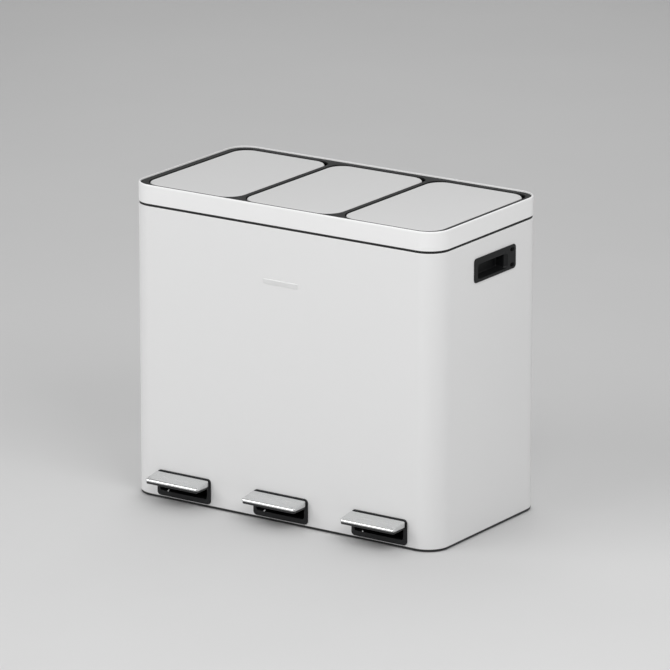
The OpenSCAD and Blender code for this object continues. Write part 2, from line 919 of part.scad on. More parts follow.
module push_rod(x) {
    foot_w = foot_slot_l + 2 * slot_wall;
    foot_h2 = rear_pin_d + 2 * slot_wall;
    head_w = head_slot_l + 2 * slot_wall;
    head_h = head_slot_h + 2 * slot_wall;
    color("#9a9da0")
        translate([x, 0, 0])
            difference() {
                union() {
                    translate([-rod_t / 2, foot_slot_y - rod_w / 2, rear_z])
                        cube([rod_t, rod_w, crank_z - rear_z]);
                    translate([0, foot_slot_y, rear_z])
                        bar_x(rod_t, foot_w, foot_h2);
                    translate([0, head_y, crank_z])
                        bar_x(rod_t, head_w, head_h);
                    // Arm to the damper.
                    translate([-rod_t / 2, foot_slot_y, arm_z])
                        cube([damper_x + rod_t, rod_t, 5]);
                    translate([damper_x - 5, foot_slot_y, arm_z])
                        cube([10, damper_y - foot_slot_y + 5, 5]);
                }
                translate([0, foot_slot_y, rear_z])
                    bar_x(rod_t + 2, foot_slot_l, rear_pin_d + 2 * run_fit);
                translate([0, head_y, crank_z])
                    bar_x(rod_t + 2, head_slot_l, head_slot_h);
                translate([damper_x, damper_y, damper_z])
                    cylinder(h = damper_l + 200, d = damper_rod_d);
            }
}

module damper_rod(x) {
    color("#d0d2d4")
        translate([x + damper_x, damper_y, damper_z + 10])
            cylinder(h = damper_l + damper_arm - 3, d = damper_rod_d);
}

// Lid skin: a pressed pan with a rounded upper edge.
module lid_skin(x) {
    edge = lid_edge_r + 0.5;
    color("#d6d7d8")
        difference() {
            translate([x, mid_y, lid_low_z]) {
                wall_round(lid_w, lid_d, lid_r)
                    lid_section(edge);
                translate([0, 0, lid_h - lid_skin_t])
                    linear_extrude(lid_skin_t)
                        rounded(lid_w - 2 * edge, lid_d - 2 * edge, lid_r - edge);
            }
            translate([x, hinge_y, hinge_z])
                rod_x(lid_w, hinge_r + 0.3);
        }
}

// Edge of the lid skin: a thin wall that bends over into the top.
module lid_section(edge) {
    difference() {
        edge_section(edge, lid_h, lid_edge_r);
        difference() {
            translate([-edge - over, -over])
                square([edge + over - lid_skin_t, lid_h + over - lid_skin_t]);
            translate([-lid_edge_r, lid_h - lid_edge_r])
                difference() {
                    square(lid_edge_r);
                    circle(lid_edge_r - lid_skin_t);
                }
        }
    }
}

// Lid liner: plastic plate, upstand, hinge bosses and crank cheeks.
module lid_liner(x) {
    edge = lid_skin_t;
    pad = lid_edge_r + 0.2;
    color("#26272a")
        difference() {
            translate([x, mid_y, lid_low_z]) {
                linear_extrude(liner_t)
                    rounded(lid_w - 2 * edge, lid_d - 2 * edge, lid_r - edge);
                linear_extrude(lid_h - lid_skin_t)
                    difference() {
                        rounded(lid_w - 2 * pad, lid_d - 2 * pad, lid_r - pad);
                        rounded(lid_w - 2 * pad - 4, lid_d - 2 * pad - 4, lid_r - pad - 2);
                    }
                for (s = [-1, 1])
                    translate([s * (lid_half - edge - 4 - hinge_boss_l / 2), hinge_y - mid_y,
                        (hinge_z - lid_low_z + 4.4) / 2])
                        bar_x(hinge_boss_l, 10, hinge_z - lid_low_z + 4.4);
                for (s = [-1, 1])
                    translate([s * (rod_t / 2 + side_gap + cheek_t / 2), 0, 0]) {
                        translate([0, crank_y - mid_y, (crank_z - lid_low_z) / 2])
                            bar_x(cheek_t, 2 * cheek_r(), lid_low_z - crank_z);
                        translate([0, crank_y - mid_y, crank_z - lid_low_z])
                            rod_x(cheek_t, cheek_r());
                    }
            }
            translate([x, hinge_y, hinge_z])
                rod_x(lid_w, hinge_r);
            translate([x, crank_y, crank_z])
                rod_x(60, crank_pin_d / 2);
            // Window that the push rod's head swings through.
            translate([x, crank_y, lid_low_z + liner_t / 2])
                bar_x(rod_t + 2 * side_gap, 26, liner_t + 2);
        }
}

function cheek_r() = crank_pin_d / 2 + 2.5;

// Hinge pins and crank pin of one lid.
module lid_pins(x) {
    inner = lid_half - lid_skin_t - 4 - hinge_boss_l;
    color("#b9bcbf") {
        for (s = [-1, 1])
            translate([x + s * (inner + pin_out) / 2, hinge_y, hinge_z])
                rod_x(pin_out - inner, hinge_r);
        translate([x, crank_y, crank_z])
            rod_x(rod_t + 2 * side_gap + 2 * cheek_t, crank_pin_d / 2);
    }
}

module pedal_cover_left() {
    pedal_cover(columns[0]);
}

module pedal_cover_middle() {
    pedal_cover(columns[1]);
}

module pedal_cover_right() {
    pedal_cover(columns[2]);
}

module pedal_body_left() {
    pedal_body(columns[0]);
}

module pedal_body_middle() {
    pedal_body(columns[1]);
}

module pedal_body_right() {
    pedal_body(columns[2]);
}

module pedal_lever_left() {
    pedal_lever(columns[0]);
}

module pedal_lever_middle() {
    pedal_lever(columns[1]);
}

module pedal_lever_right() {
    pedal_lever(columns[2]);
}

module lever_pin_left() {
    lever_pin(columns[0]);
}

module lever_pin_middle() {
    lever_pin(columns[1]);
}

module lever_pin_right() {
    lever_pin(columns[2]);
}

module push_rod_left() {
    push_rod(columns[0]);
}

module push_rod_middle() {
    push_rod(columns[1]);
}

module push_rod_right() {
    push_rod(columns[2]);
}

module damper_rod_left() {
    damper_rod(columns[0]);
}

module damper_rod_middle() {
    damper_rod(columns[1]);
}

module damper_rod_right() {
    damper_rod(columns[2]);
}

module lid_skin_left() {
    lid_skin(columns[0]);
}

module lid_skin_middle() {
    lid_skin(columns[1]);
}

module lid_skin_right() {
    lid_skin(columns[2]);
}

module lid_liner_left() {
    lid_liner(columns[0]);
}

module lid_liner_middle() {
    lid_liner(columns[1]);
}

module lid_liner_right() {
    lid_liner(columns[2]);
}

module lid_pins_left() {
    lid_pins(columns[0]);
}

module lid_pins_middle() {
    lid_pins(columns[1]);
}

module lid_pins_right() {
    lid_pins(columns[2]);
}

base_tray();
feet();
body_shell();
seam_gasket();
top_rim();
inner_frame();
bucket_platform();
service_panel();
pivot_brackets();
pivot_pins();
rod_guides();
pedal_bezels();
sill_screws();
grip_left();
grip_right();
grip_screws();
nameplate();
bucket_left();
bucket_middle();
bucket_right();
bail_left();
bail_middle();
bail_right();
lid_bumpers();
damper_cylinders();
damper_clamps();
pedal_cover_left();
pedal_cover_middle();
pedal_cover_right();
pedal_body_left();
pedal_body_middle();
pedal_body_right();
pedal_lever_left();
pedal_lever_middle();
pedal_lever_right();
lever_pin_left();
lever_pin_middle();
lever_pin_right();
push_rod_left();
push_rod_middle();
push_rod_right();
damper_rod_left();
damper_rod_middle();
damper_rod_right();
lid_skin_left();
lid_skin_middle();
lid_skin_right();
lid_liner_left();
lid_liner_middle();
lid_liner_right();
lid_pins_left();
lid_pins_middle();
lid_pins_right();
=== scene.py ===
"""Looks of a three-compartment pedal recycling bin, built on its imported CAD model.

The sections follow the bin as it is put together: the studio, the steel body, the top, the lids,
the buckets, the bezels, the pedals, the side grips, the nameplate and the works inside. All lengths are in
metres once they reach a mesh; sizes are written in millimetres and turned by the value MM.
"""

import bmesh
import bpy
import numpy as np
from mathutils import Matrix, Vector


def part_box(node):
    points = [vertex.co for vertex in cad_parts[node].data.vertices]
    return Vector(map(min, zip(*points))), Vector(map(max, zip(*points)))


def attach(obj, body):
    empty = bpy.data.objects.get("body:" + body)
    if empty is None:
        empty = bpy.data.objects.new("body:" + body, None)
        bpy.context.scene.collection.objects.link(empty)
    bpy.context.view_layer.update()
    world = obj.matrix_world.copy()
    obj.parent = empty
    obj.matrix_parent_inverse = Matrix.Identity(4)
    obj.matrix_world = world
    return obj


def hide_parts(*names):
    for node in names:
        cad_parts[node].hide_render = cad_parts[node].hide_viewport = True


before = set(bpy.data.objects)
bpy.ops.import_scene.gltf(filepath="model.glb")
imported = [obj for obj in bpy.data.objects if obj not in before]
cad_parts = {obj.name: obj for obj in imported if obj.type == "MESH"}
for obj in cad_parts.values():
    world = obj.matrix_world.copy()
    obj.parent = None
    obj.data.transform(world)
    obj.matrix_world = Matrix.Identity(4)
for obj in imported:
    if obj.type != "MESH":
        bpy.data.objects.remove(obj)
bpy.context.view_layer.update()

MM = 0.001


# ---------------------------------------------------------------------------------------------
# Studio. A matt pale floor sheet, laid flat and far wider than the view, and soft light from
# large diffusers: the key stands at the front, so the front is the lightest face, and one diffuser
# hangs over the floor behind the bin.
# ---------------------------------------------------------------------------------------------
def linear(code):
    """sRGB hex to the linear colour of a shader socket: the sRGB curve on each channel, alpha 1."""
    srgb = np.array([int(code[i:i + 2], 16) for i in (1, 3, 5)]) / 255
    light = np.where(srgb <= 0.04045, srgb / 12.92, ((srgb + 0.055) / 1.055) ** 2.4)
    return (*light.tolist(), 1.0)


def add_node(material, kind, settings=None, links=None):
    """Adds one node. Settings go to its input sockets or its own properties, and links join its
    inputs to outputs."""
    node = material.node_tree.nodes.new(kind)
    for key, value in (settings or {}).items():
        if isinstance(key, int) or key in node.inputs:
            node.inputs[key].default_value = value
        else:
            setattr(node, key, value)
    for key, output in (links or {}).items():
        material.node_tree.links.new(output, node.inputs[key])
    return node


def new_material(name, colour, roughness, metallic=0.0, ior=1.5, coat=0.0):
    """A material whose shader holds these constants; a metal keeps the default IOR."""
    material = bpy.data.materials.new(name)
    material.use_nodes = True
    shader = material.node_tree.nodes["Principled BSDF"]
    shader.inputs["Base Color"].default_value = linear(colour)
    shader.inputs["Roughness"].default_value = roughness
    shader.inputs["Metallic"].default_value = metallic
    shader.inputs["Coat Weight"].default_value = coat
    if metallic < 0.5:
        shader.inputs["IOR"].default_value = ior
    return material, shader


def join(material, output, shader, socket):
    """Joins an output to one of the shader's sockets."""
    material.node_tree.links.new(output, shader.inputs[socket])


def per_metre(size_mm):
    """Texture scale whose cells are this many millimetres across."""
    return 1000.0 / size_mm


FLOOR_HALF = 45.0
CAMERA_AIM = (-0.0112, 0.0359, 0.2767)
CAMERA_AZIMUTH = 34.07
CAMERA_ELEVATION = 15.95
CAMERA_DISTANCE = 9.1
CAMERA_LENS = 297.1

# Painted board: the floor is a rolled matt sheet, with a faint unevenness of tone 0.4 m across.
floor_board, floor_shader = new_material("matt_painted_board", "#cfcfcf", 0.75)
floor_place = add_node(floor_board, "ShaderNodeTexCoord")
floor_cloud = add_node(
    floor_board, "ShaderNodeTexNoise", {"Scale": per_metre(400), "Detail": 2.0},
    {"Vector": floor_place.outputs["Object"]},
)
floor_tone = add_node(
    floor_board, "ShaderNodeMix",
    {"data_type": "RGBA", 6: linear("#cecece"), 7: linear("#d2d2d2")}, {0: floor_cloud.outputs["Fac"]},
)
join(floor_board, floor_tone.outputs[2], floor_shader, "Base Color")

floor_mesh = bpy.data.meshes.new("floor")
floor_corners = [(x * FLOOR_HALF, y * FLOOR_HALF, 0) for x, y in ((-1, -1), (1, -1), (1, 1), (-1, 1))]
floor_mesh.from_pydata(floor_corners, [], [(0, 1, 2, 3)])
floor = bpy.data.objects.new("floor", floor_mesh)
bpy.context.scene.collection.objects.link(floor)
floor_mesh.materials.append(floor_board)


def direction(azimuth, elevation):
    """Unit vector from the bin outwards: azimuth 0 is straight in front, 90 is to the right."""
    a, e = np.radians(azimuth), np.radians(elevation)
    return Vector((np.sin(a) * np.cos(e), -np.cos(a) * np.cos(e), np.sin(e)))


def soft_light(name, azimuth, elevation, distance, width, height, watts, aim=(0, 0, 0.25)):
    """A rectangular diffuser at that place on a sphere round the aim point, facing that point."""
    data = bpy.data.lights.new(name, "AREA")
    data.shape = "RECTANGLE"
    data.size = width
    data.size_y = height
    data.energy = watts
    lamp = bpy.data.objects.new(name, data)
    bpy.context.scene.collection.objects.link(lamp)
    out = direction(azimuth, elevation)
    lamp.location = Vector(aim) + out * distance
    lamp.rotation_mode = "QUATERNION"
    lamp.rotation_quaternion = (-out).to_track_quat("-Z", "Y")
    return lamp


soft_light("key_diffuser", -30, 32, 3.2, 3.0, 2.0, 47)
soft_light("side_diffuser", 62, 42, 2.2, 1.5, 1.2, 21)
soft_light("rear_side_diffuser", 135, 22, 3.2, 2.4, 1.6, 6)
soft_light("rear_diffuser", -150, 62, 3.2, 2.4, 2.4, 20)
soft_light("far_floor_diffuser", 0, 90, 2.6, 2.0, 2.0, 18, aim=(-1.9, 3.0, 0))

world = bpy.data.worlds.new("studio_air")
world.use_nodes = True
world.node_tree.nodes["Background"].inputs["Color"].default_value = linear("#f5f5f5")
world.node_tree.nodes["Background"].inputs["Strength"].default_value = 0.37
bpy.context.scene.world = world
bpy.context.scene.view_settings.view_transform = "Standard"

camera_data = bpy.data.cameras.new("camera")
camera_data.sensor_width = 36.0
camera_data.lens = CAMERA_LENS
camera_data.clip_start = 0.1
camera_data.clip_end = 200.0
camera = bpy.data.objects.new("camera", camera_data)
bpy.context.scene.collection.objects.link(camera)
camera_out = direction(CAMERA_AZIMUTH, CAMERA_ELEVATION)
camera.location = Vector(CAMERA_AIM) + camera_out * CAMERA_DISTANCE
camera.rotation_mode = "QUATERNION"
camera.rotation_quaternion = (-camera_out).to_track_quat("-Z", "Y")
bpy.context.scene.camera = camera


# ---------------------------------------------------------------------------------------------
# Steel body. One strip of 1 mm sheet steel bent round four R38 corners and seam welded at the
# back, with its edges rolled in and openings pressed for pedals and grips, then powder coated.
# ---------------------------------------------------------------------------------------------
def rounded_loop(width, depth, radius, arc=10, stops=((), (), (), ())):
    """A closed rounded rectangle about the origin, anticlockwise from its front right corner, as edge
    points and outward unit normals, so that edge - normal * inset is the same outline set in. Each
    corner is an arc of arc + 1 points; stops are extra places along the right, back, left and front."""
    radii = np.broadcast_to(radius, 4)
    signs = np.array([[1, -1], [1, 1], [-1, 1], [-1, -1]])
    edges, normals = [], []
    for side in range(4):
        angle = np.radians(np.linspace(side * 90 - 90, side * 90, arc + 1))
        turned = np.stack([np.cos(angle), np.sin(angle)], 1)
        centre = signs[side] * (np.array([width, depth]) / 2 - radii[side])
        edges.append(centre + turned * radii[side])
        normals.append(turned)
        if len(stops[side]):
            out = turned[-1].round()
            along = np.array([-out[1], out[0]])
            places = np.sort(np.array(stops[side]) * along.sum())
            edges.append(places[:, None] * along + out * (np.array([width, depth]) / 2))
            normals.append(np.broadcast_to(out, (len(places), 2)))
    edge, normal = np.concatenate(edges), np.concatenate(normals)
    return np.concatenate([edge, edge[:1]]), np.concatenate([normal, normal[:1]])


def curve(inset, height, radius, start, end, steps=6):
    """A profile's arc: centre plus radius times cosine and sine, from start to end degrees."""
    angle = np.radians(np.linspace(start, end, steps + 1))
    return np.stack([inset + radius * np.cos(angle), height + radius * np.sin(angle)], 1)


def sweep(loop, profile):
    """A profile of (inset, height) rows carried round a loop: edge - normal * inset, at that height."""
    edge, normal = loop
    profile = np.atleast_2d(profile)
    flat = edge[None] - normal[None] * profile[:, 0, None, None]
    return np.dstack([flat, np.broadcast_to(profile[:, 1, None], flat.shape[:2])])


def cap(ring, crown=0.0, steps=1):
    """A ring closed by itself shrunk to its middle: middle + share * (ring - middle), lifted by the
    crown times one minus the share squared."""
    middle = ring[:-1].mean(0)
    share = np.linspace(1, 0, steps + 1)[:, None, None]
    grid = middle + share * (ring[None] - middle)
    grid[..., 2] += crown * (1 - share[..., 0] ** 2)
    return grid


def make_mesh(name, grids, keep=None):
    """A mesh from grids of points in millimetres, rows by columns by three. Each cell of a grid is a
    face, unless keep drops it; points that meet are merged, which closes loops and poles, and the
    normals are worked out after that."""
    points, faces, start = [], [], 0
    for grid in grids:
        rows, columns = grid.shape[:2]
        number = start + np.arange(rows * columns).reshape(rows, columns)
        cells = np.stack([number[:-1, :-1], number[:-1, 1:], number[1:, 1:], number[1:, :-1]], -1)
        faces.append(cells[keep] if keep is not None else cells.reshape(-1, 4))
        points.append(grid.reshape(-1, 3))
        start += rows * columns
    mesh = bpy.data.meshes.new(name)
    mesh.from_pydata((np.concatenate(points) * MM).tolist(), [], np.concatenate(faces).tolist())
    shape = bmesh.new()
    shape.from_mesh(mesh)
    bmesh.ops.remove_doubles(shape, verts=shape.verts, dist=0.004 * MM)
    bmesh.ops.delete(shape, geom=[v for v in shape.verts if not v.link_faces], context="VERTS")
    bmesh.ops.recalc_face_normals(shape, faces=shape.faces)
    shape.to_mesh(mesh)
    shape.free()
    return mesh


def carve(piece, grids):
    """Takes closed shapes out of a piece for good: their exact difference becomes the piece's mesh."""
    tool = bpy.data.objects.new("tool", make_mesh("tool", grids))
    bpy.context.scene.collection.objects.link(tool)
    step = piece.modifiers.new("carve", "BOOLEAN")
    step.object = tool
    step.operation = "DIFFERENCE"
    step.solver = "EXACT"
    whole = bpy.context.evaluated_depsgraph_get()
    carved = bpy.data.meshes.new_from_object(piece.evaluated_get(whole))
    piece.modifiers.remove(step)
    piece.data = carved
    bpy.data.objects.remove(tool)


def make_piece(
    name, grids, material, body, nodes=(), thickness=0.0, keep=None, sharp=32, pockets=None
):
    """An object at the origin with that mesh and material, less its pockets, with its sheet thickness.
    It rides on the body and stands for the nodes. Edges sharper than the angle stay crisp."""
    mesh = make_mesh(name, grids, keep)
    piece = bpy.data.objects.new(name, mesh)
    bpy.context.scene.collection.objects.link(piece)
    if pockets:
        carve(piece, pockets)
        mesh = piece.data
    mesh.shade_smooth()
    mesh.set_sharp_from_angle(angle=np.radians(sharp))
    mesh.materials.clear()
    mesh.materials.append(material)
    if thickness:
        wall = piece.modifiers.new("sheet", "SOLIDIFY")
        wall.thickness = thickness * MM
        wall.offset = -1.0
    # Flat faces keep their own normal up to the first facet of a bend, so that they shade flat.
    even = piece.modifiers.new("even_normals", "WEIGHTED_NORMAL")
    even.keep_sharp = True
    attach(piece, body)
    if nodes:
        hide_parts(*nodes)
    return piece


def box_mm(node):
    """Lowest and highest corner of a CAD node at rest, in millimetres."""
    low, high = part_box(node)
    return np.array(low) / MM, np.array(high) / MM


def dress(material, *nodes):
    """Gives CAD nodes this material in all their slots."""
    for node in nodes:
        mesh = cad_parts[node].data
        mesh.materials.clear()
        mesh.materials.append(material)


def coated(name, colour, roughness):
    """Polyester powder coat on steel, baked at 200 degrees: an even satin with a faint orange peel.
    The real peel is about 2 mm across; it is drawn 5 mm across so that it shows at all."""
    material, shader = new_material(name, colour, roughness, ior=1.5, coat=0.15)
    shader.inputs["Coat Roughness"].default_value = 0.22
    place = add_node(material, "ShaderNodeTexCoord")
    peel = add_node(
        material, "ShaderNodeTexNoise", {"Scale": per_metre(5), "Detail": 2.0, "Roughness": 0.4},
        {"Vector": place.outputs["Object"]},
    )
    bump = add_node(
        material, "ShaderNodeBump", {"Strength": 0.35, "Distance": 0.03 * MM}, {"Height": peel.outputs["Fac"]}
    )
    join(material, bump.outputs["Normal"], shader, "Normal")
    cloud = add_node(
        material, "ShaderNodeTexNoise", {"Scale": per_metre(90), "Detail": 3.0},
        {"Vector": place.outputs["Object"]},
    )
    gloss = add_node(
        material, "ShaderNodeMapRange",
        {"To Min": roughness - 0.04, "To Max": roughness + 0.05}, {"Value": cloud.outputs["Fac"]},
    )
    join(material, gloss.outputs["Result"], shader, "Roughness")
    return material


body_coat = coated("powder_coated_steel_white", "#e7e7e7", 0.42)

body_low, body_high = box_mm("body_shell")
body_w, body_d = (body_high - body_low)[:2]
body_mid = (body_low + body_high) / 2
BODY_R = 38.0
SHEET = 1.0
ROLL = 1.2
FLANGE = 15.0

bezel_low, bezel_high = box_mm("pedal_bezels")
BEZEL_W = 107.0
BEZEL_SIDE = 6.3
BEZEL_SILL = 8.9
BEZEL_TOP = 4.0
COLLAR_T = 2.0
lid_boxes = {side: box_mm("lid_skin_" + side) for side in ("left", "middle", "right")}
columns = {side: (low[0] + high[0]) / 2 for side, (low, high) in lid_boxes.items()}
hole_half = BEZEL_W / 2 - BEZEL_SIDE + COLLAR_T
hole_low = bezel_low[2] + BEZEL_SILL - COLLAR_T
hole_high = bezel_high[2] - BEZEL_TOP + COLLAR_T

grip_low, grip_high = box_mm("grip_right")
RECESS_L, RECESS_H, RECESS_R = 88.0, 24.7, 5.0
RECESS_FRONT, RECESS_LOW = 9.5, 2.7
CUP_T = 2.0
recess_y = grip_low[1] + RECESS_FRONT + RECESS_L / 2
recess_z = (grip_low[2] + grip_high[2]) / 2 - RECESS_LOW

pedal_stops = sorted(x + side * hole_half for x in columns.values() for side in (-1, 1))
grip_stops = [recess_y - body_mid[1] + side * (RECESS_L / 2 + CUP_T) for side in (-1, 1)]
grip_levels = [recess_z - RECESS_H / 2 - CUP_T, recess_z + RECESS_H / 2 + CUP_T]
body_loop = rounded_loop(
    body_w, body_d, BODY_R, arc=20, stops=(grip_stops, (0.0,), grip_stops, pedal_stops)
)
skin_profile = np.concatenate([
    curve(0.8, body_low[2] + 0.8, 0.8, 270, 180, 4),
    [(0, hole_low), (0, hole_high), (0, grip_levels[0]), (0, grip_levels[1])],
    curve(ROLL, body_high[2] - ROLL, ROLL, 180, 90, 5),
    [(FLANGE, body_high[2])],
])
skin = sweep(body_loop, skin_profile) + [body_mid[0], body_mid[1], 0]
middles = (skin[:-1, :-1] + skin[1:, 1:]) / 2
at_front = middles[..., 1] < body_low[1] + 0.5
at_side = np.abs(middles[..., 0]) > body_w / 2 - 0.5
in_pedal = sum(np.abs(middles[..., 0] - x) < hole_half for x in columns.values()) > 0
cut = at_front & in_pedal & (middles[..., 2] > hole_low) & (middles[..., 2] < hole_high)
in_grip = np.abs(middles[..., 1] - recess_y) < RECESS_L / 2 + CUP_T
cut |= at_side & in_grip & (middles[..., 2] > grip_levels[0]) & (middles[..., 2] < grip_levels[1])
make_piece(
    "steel_body", [skin], body_coat, "cabinet", ["body_shell"], thickness=SHEET, keep=~cut
)


# ---------------------------------------------------------------------------------------------
# Base and seam. A moulded tray closes the body's foot and shows as a dark line at the floor, five
# rubber feet stand under it, and a rubber gasket fills the groove between body and top rim.
# ---------------------------------------------------------------------------------------------
def moulded(name, colour, roughness, grain_mm=1.2, depth_mm=0.04, specular=0.5):
    """Injection moulding from a spark eroded tool: a fine matt grain that softens the light. The real
    grain is about 0.3 mm across; it is drawn coarser, so that it shows at all."""
    material, shader = new_material(name, colour, roughness, ior=1.53)
    shader.inputs["Specular IOR Level"].default_value = specular
    place = add_node(material, "ShaderNodeTexCoord")
    grain = add_node(
        material, "ShaderNodeTexVoronoi", {"Scale": per_metre(grain_mm)}, {"Vector": place.outputs["Object"]}
    )
    bump = add_node(
        material, "ShaderNodeBump", {"Strength": 0.5, "Distance": depth_mm * MM},
        {"Height": grain.outputs["Distance"]},
    )
    join(material, bump.outputs["Normal"], shader, "Normal")
    cloud = add_node(
        material, "ShaderNodeTexNoise", {"Scale": per_metre(25), "Detail": 3.0},
        {"Vector": place.outputs["Object"]},
    )
    gloss = add_node(
        material, "ShaderNodeMapRange",
        {"To Min": roughness - 0.06, "To Max": roughness + 0.06}, {"Value": cloud.outputs["Fac"]},
    )
    join(material, gloss.outputs["Result"], shader, "Roughness")
    return material


black_abs = moulded("grained_black_abs", "#1b1c1d", 0.48)
black_rubber = moulded("pressed_epdm_rubber", "#131313", 0.72, grain_mm=2.0, depth_mm=0.06)
dress(black_abs, "base_tray")
dress(black_rubber, "feet", "seam_gasket")


# ---------------------------------------------------------------------------------------------
# Top rim. A roll formed steel band of the body's outline, powder coated like it but drawn a shade lighter:
# painted light, for the stronger light on the top of the front. It has a small radius along its upper edge
# that catches the light. Inside it lies the black deck moulding.
# ---------------------------------------------------------------------------------------------
rim_low, rim_high = box_mm("top_rim")
RIM_T = 3.0
RIM_EDGE = 2.4
rim_loop = rounded_loop(body_w, body_d, BODY_R, arc=24)
rim_profile = np.concatenate([
    curve(0.8, rim_low[2] + 0.8, 0.8, 270, 180, 4),
    curve(RIM_EDGE, rim_high[2] - RIM_EDGE, RIM_EDGE, 180, 90, 6),
    curve(RIM_T - 0.5, rim_high[2] - 0.5, 0.5, 90, 0, 4),
    [(RIM_T, rim_low[2]), (0.8, rim_low[2])],
])
# Painted light: the rim takes the body's white coat drawn lighter, #f0f0f0 against #e7e7e7, for the brighter
# top of the front.
rim_coat_painted_lighter = coated("powder_coated_steel_rim_painted_lighter", "#f0f0f0", 0.38)
rim = sweep(rim_loop, rim_profile) + [body_mid[0], body_mid[1], 0]
make_piece("top_band", [rim], rim_coat_painted_lighter, "cabinet", ["top_rim"])

deck_pp = moulded("grained_black_polypropylene", "#121313", 0.6, specular=0.2)
dress(deck_pp, "inner_frame")
dress(black_rubber, "lid_bumpers")


# ---------------------------------------------------------------------------------------------
# Lids. Three deep drawn steel pans with a 2.5 mm radius round their upper edge and a very slight
# crown, so that water runs off, coated white but drawn light grey: painted shade for the weaker light on the
# tops. A black liner clips in under each.
# ---------------------------------------------------------------------------------------------
LID_R = 30.0
LID_EDGE = 2.5
LID_CROWN = 0.35
# Painted shade: the lids' white coat is drawn grey, #cacaca, for the weaker light that falls on their tops.
lid_coat_painted_shade = coated("powder_coated_steel_painted_shade_grey", "#cacaca", 0.5)
for side, (low, high) in lid_boxes.items():
    middle = [(low[0] + high[0]) / 2, (low[1] + high[1]) / 2, 0]
    lid_loop = rounded_loop(high[0] - low[0], high[1] - low[1], LID_R, arc=16)
    lid_profile = np.concatenate([
        curve(0.5, low[2] + 0.5, 0.5, 270, 180, 3),
        curve(LID_EDGE, high[2] - LID_CROWN - LID_EDGE, LID_EDGE, 180, 90, 8),
    ])
    wall = sweep(lid_loop, lid_profile)
    top = cap(wall[-1], crown=LID_CROWN, steps=12)
    make_piece(
        "lid_pan_" + side, [wall + middle, top + middle], lid_coat_painted_shade, "lid_" + side,
        ["lid_skin_" + side], thickness=SHEET,
    )

liner_abs = moulded("grained_black_abs_liner", "#202123", 0.5)
dress(liner_abs, *("lid_liner_" + side for side in columns))


# ---------------------------------------------------------------------------------------------
# Buckets. Three lift-out tubs injection moulded in grey polypropylene: rounded corners, a lip round
# the mouth that stiffens it, a bead below the lip, and a foot with a large radius.
# ---------------------------------------------------------------------------------------------
BUCKET_R = 28.0
BUCKET_T = 2.0
BUCKET_LIP = 2.0
bucket_pp = moulded("satin_grey_polypropylene", "#54575a", 0.42, grain_mm=3.0, depth_mm=0.05)
for side in columns:
    low, high = box_mm("bucket_" + side)
    middle = [(low[0] + high[0]) / 2, (low[1] + high[1]) / 2, 0]
    loop = rounded_loop(high[0] - low[0], high[1] - low[1], BUCKET_R + BUCKET_LIP, arc=14)
    out = BUCKET_LIP
    bead_z = high[2] - 26
    outside = np.concatenate([
        curve(out + 9, low[2] + 9, 9, 270, 180, 6),
        [(out, bead_z - 5)],
        curve(out + 1.2, bead_z, 2.4, 240, 120, 6),
        [(out, bead_z + 5), (out, high[2] - 4.6)],
        curve(0.7, high[2] - 3.4, 0.7, 270, 180, 3),
        curve(0.9, high[2] - 0.9, 0.9, 180, 90, 4),
        curve(out + BUCKET_T - 0.9, high[2] - 0.9, 0.9, 90, 0, 4),
        [(out + BUCKET_T, low[2] + 9.5)],
        curve(out + BUCKET_T + 7, low[2] + 9.5, 7, 180, 270, 6),
    ])
    wall = sweep(loop, outside)
    make_piece(
        "tub_" + side, [wall + middle, cap(wall[0]) + middle, cap(wall[-1]) + middle],
        bucket_pp, "cabinet", ["bucket_" + side],
    )

acetal = moulded("dark_grey_acetal", "#3a3c3f", 0.4)
dress(acetal, "rod_guides", *("bail_" + side for side in columns))


# ---------------------------------------------------------------------------------------------
# Pedal bezels. Each pedal comes out through a black ABS frame that is pushed into the sheet from
# the front: a flange with a deep sill, an opening, and a collar that passes through the steel.
# ---------------------------------------------------------------------------------------------
def framed_opening(outer, opening, proud, edge, lip, depth, wall, throat=None, throat_depth=0.0):
    """Flange and collar between two loops with the same number of points. Rows run from the skin over
    the flange's rounded edge, across its face (outer to opening), round the lip and down the collar.
    With a throat, the wall narrows to that loop at its depth and a floor closes it: a blind recess.
    Returns grids as across, up and out of the face."""
    def row(loop, inset, out):
        return sweep(loop, [(inset, out)])[0]

    rows = [row(outer, 0, 0)]
    rows += [row(outer, u, out) for u, out in curve(edge, proud - edge, edge, 180, 90, 5)]
    rows += [row(opening, u, out) for u, out in curve(-lip, proud - lip, lip, 90, 0, 4)]
    if throat:
        rows += [row(throat, 0, proud - throat_depth)]
        rows += [row(throat, u, out) for u, out in curve(1.5, 1.5 + wall - depth, 1.5, 180, 270, 4)]
        floor_inside = cap(rows[-1])
        rows_back = [row(opening, -wall, -depth), row(opening, -wall, 0), row(outer, 0, 0)]
        return [np.stack(rows), floor_inside, np.stack(rows_back), cap(rows_back[0])]
    rows += [row(opening, u, out) for u, out in curve(-0.5, 0.5 - depth, 0.5, 0, -90, 3)]
    rows += [row(opening, -wall, -depth), row(opening, -wall, 0), row(outer, 0, 0)]
    return [np.stack(rows)]


def face_on(grids, across, up, out, origin):
    """Grids of across, up and out turned into place: origin plus each coordinate times its direction."""
    axes = np.array([across, up, out], float)
    return [grid @ axes + origin for grid in grids]


